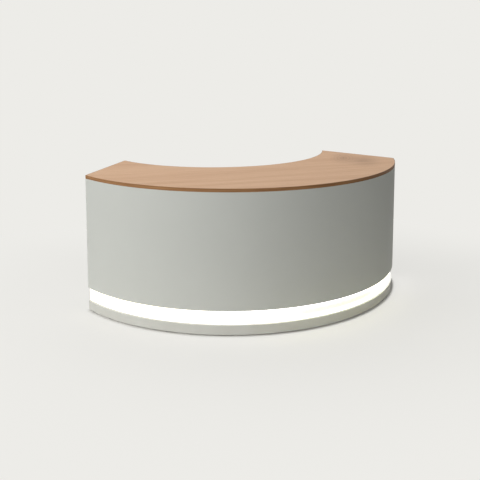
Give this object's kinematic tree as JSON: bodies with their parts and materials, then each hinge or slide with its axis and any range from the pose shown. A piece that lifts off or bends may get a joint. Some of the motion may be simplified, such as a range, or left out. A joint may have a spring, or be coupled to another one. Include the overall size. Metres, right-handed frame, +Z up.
{
  "type": "reception desk",
  "caption": "Crescent-shaped reception desk with an oak-look worktop, bent grey front, lit band above a plinth, drawers and shelves on the staff side.",
  "frame": {"origin": "on the floor under the middle of the desk's bounding box", "axes": "+Z up, +X along the desk's width, the curved front faces -Y and staff sit on the +Y side"},
  "size_m": [1.842, 1.0474, 0.75],
  "materials": {
    "oak_top": "oak-grained board, satin",
    "oak_edge": "oak-grained edge band, satin",
    "front_lacquer": "matt light grey laminate on bent board",
    "plinth_lacquer": "matt light grey laminate on bent board",
    "channel_metal": "white-coated",
    "tape": "light tape",
    "opal": "lit opal strip",
    "board": "matt light grey board",
    "drawer_face": "matt light grey board",
    "drawer_board": "birch-faced board",
    "pull_steel": "brushed",
    "runner_steel": "zinc plated",
    "bracket_steel": "zinc plated",
    "foot_black": "moulded black",
    "driver_white": "moulded off-white",
    "switch_black": "moulded black",
    "lead_white": "round sheathed lead"
  },
  "bodies": {
    "desk": {"worktop": "oak_top", "worktop_front_edging": "oak_edge", "worktop_rear_edging": "oak_edge", "worktop_left_edging": "oak_edge", "worktop_right_edging": "oak_edge", "front_panel": "front_lacquer", "plinth_panel": "plinth_lacquer", "light_channel": "channel_metal", "led_tape": "tape", "light_diffuser": "opal", "left_end_panel": "board", "right_end_panel": "board", "left_inner_panel": "board", "right_inner_panel": "board", "centre_rib": "board", "left_base_board": "board", "right_base_board": "board", "left_kick_board": "board", "right_kick_board": "board", "shelf_1": "board", "shelf_2": "board", "drawer_channels": "runner_steel", "worktop_brackets": "bracket_steel", "shelf_supports": "bracket_steel", "foot_inserts": "bracket_steel", "driver_case": "driver_white", "lead_clips": "driver_white", "supply_gland": "switch_black", "led_lead": "lead_white"},
    "drawer_1": {"drawer_1_front": "drawer_face", "drawer_1_box": "drawer_board", "drawer_1_pull": "pull_steel", "drawer_1_sliders": "runner_steel"},
    "drawer_2": {"drawer_2_front": "drawer_face", "drawer_2_box": "drawer_board", "drawer_2_pull": "pull_steel", "drawer_2_sliders": "runner_steel"},
    "drawer_3": {"drawer_3_front": "drawer_face", "drawer_3_box": "drawer_board", "drawer_3_pull": "pull_steel", "drawer_3_sliders": "runner_steel"},
    "left_end_front_foot": {"left_end_front_foot": "foot_black"},
    "left_end_rear_foot": {"left_end_rear_foot": "foot_black"},
    "left_inner_front_foot": {"left_inner_front_foot": "foot_black"},
    "left_inner_rear_foot": {"left_inner_rear_foot": "foot_black"},
    "right_end_front_foot": {"right_end_front_foot": "foot_black"},
    "right_end_rear_foot": {"right_end_rear_foot": "foot_black"},
    "right_inner_front_foot": {"right_inner_front_foot": "foot_black"},
    "right_inner_rear_foot": {"right_inner_rear_foot": "foot_black"},
    "switch_rocker": {"switch_rocker": "switch_black"}
  },
  "joints": [
    {"name": "drawer_1_slide", "type": "slide", "parent": "desk", "child": "drawer_1", "axis": [-0.565, 0.8251, 0], "range_m": [0, 0.23]},
    {"name": "drawer_2_slide", "type": "slide", "parent": "desk", "child": "drawer_2", "axis": [-0.565, 0.8251, 0], "range_m": [0, 0.23]},
    {"name": "drawer_3_slide", "type": "slide", "parent": "desk", "child": "drawer_3", "axis": [-0.565, 0.8251, 0], "range_m": [0, 0.23]},
    {"name": "left_end_front_foot_screw", "type": "slide", "parent": "desk", "child": "left_end_front_foot", "axis": [0, 0, -1], "range_m": [0, 0.012]},
    {"name": "left_end_rear_foot_screw", "type": "slide", "parent": "desk", "child": "left_end_rear_foot", "axis": [0, 0, -1], "range_m": [0, 0.012]},
    {"name": "left_inner_front_foot_screw", "type": "slide", "parent": "desk", "child": "left_inner_front_foot", "axis": [0, 0, -1], "range_m": [0, 0.012]},
    {"name": "left_inner_rear_foot_screw", "type": "slide", "parent": "desk", "child": "left_inner_rear_foot", "axis": [0, 0, -1], "range_m": [0, 0.012]},
    {"name": "right_end_front_foot_screw", "type": "slide", "parent": "desk", "child": "right_end_front_foot", "axis": [0, 0, -1], "range_m": [0, 0.012]},
    {"name": "right_end_rear_foot_screw", "type": "slide", "parent": "desk", "child": "right_end_rear_foot", "axis": [0, 0, -1], "range_m": [0, 0.012]},
    {"name": "right_inner_front_foot_screw", "type": "slide", "parent": "desk", "child": "right_inner_front_foot", "axis": [0, 0, -1], "range_m": [0, 0.012]},
    {"name": "right_inner_rear_foot_screw", "type": "slide", "parent": "desk", "child": "right_inner_rear_foot", "axis": [0, 0, -1], "range_m": [0, 0.012]},
    {"name": "switch_rocker_tilt", "type": "hinge", "parent": "desk", "child": "switch_rocker", "pos_m": [0.51049, -0.05839, 0.674], "axis": [0.8251, 0.565, 0], "range_deg": [0, 12]}
  ]
}
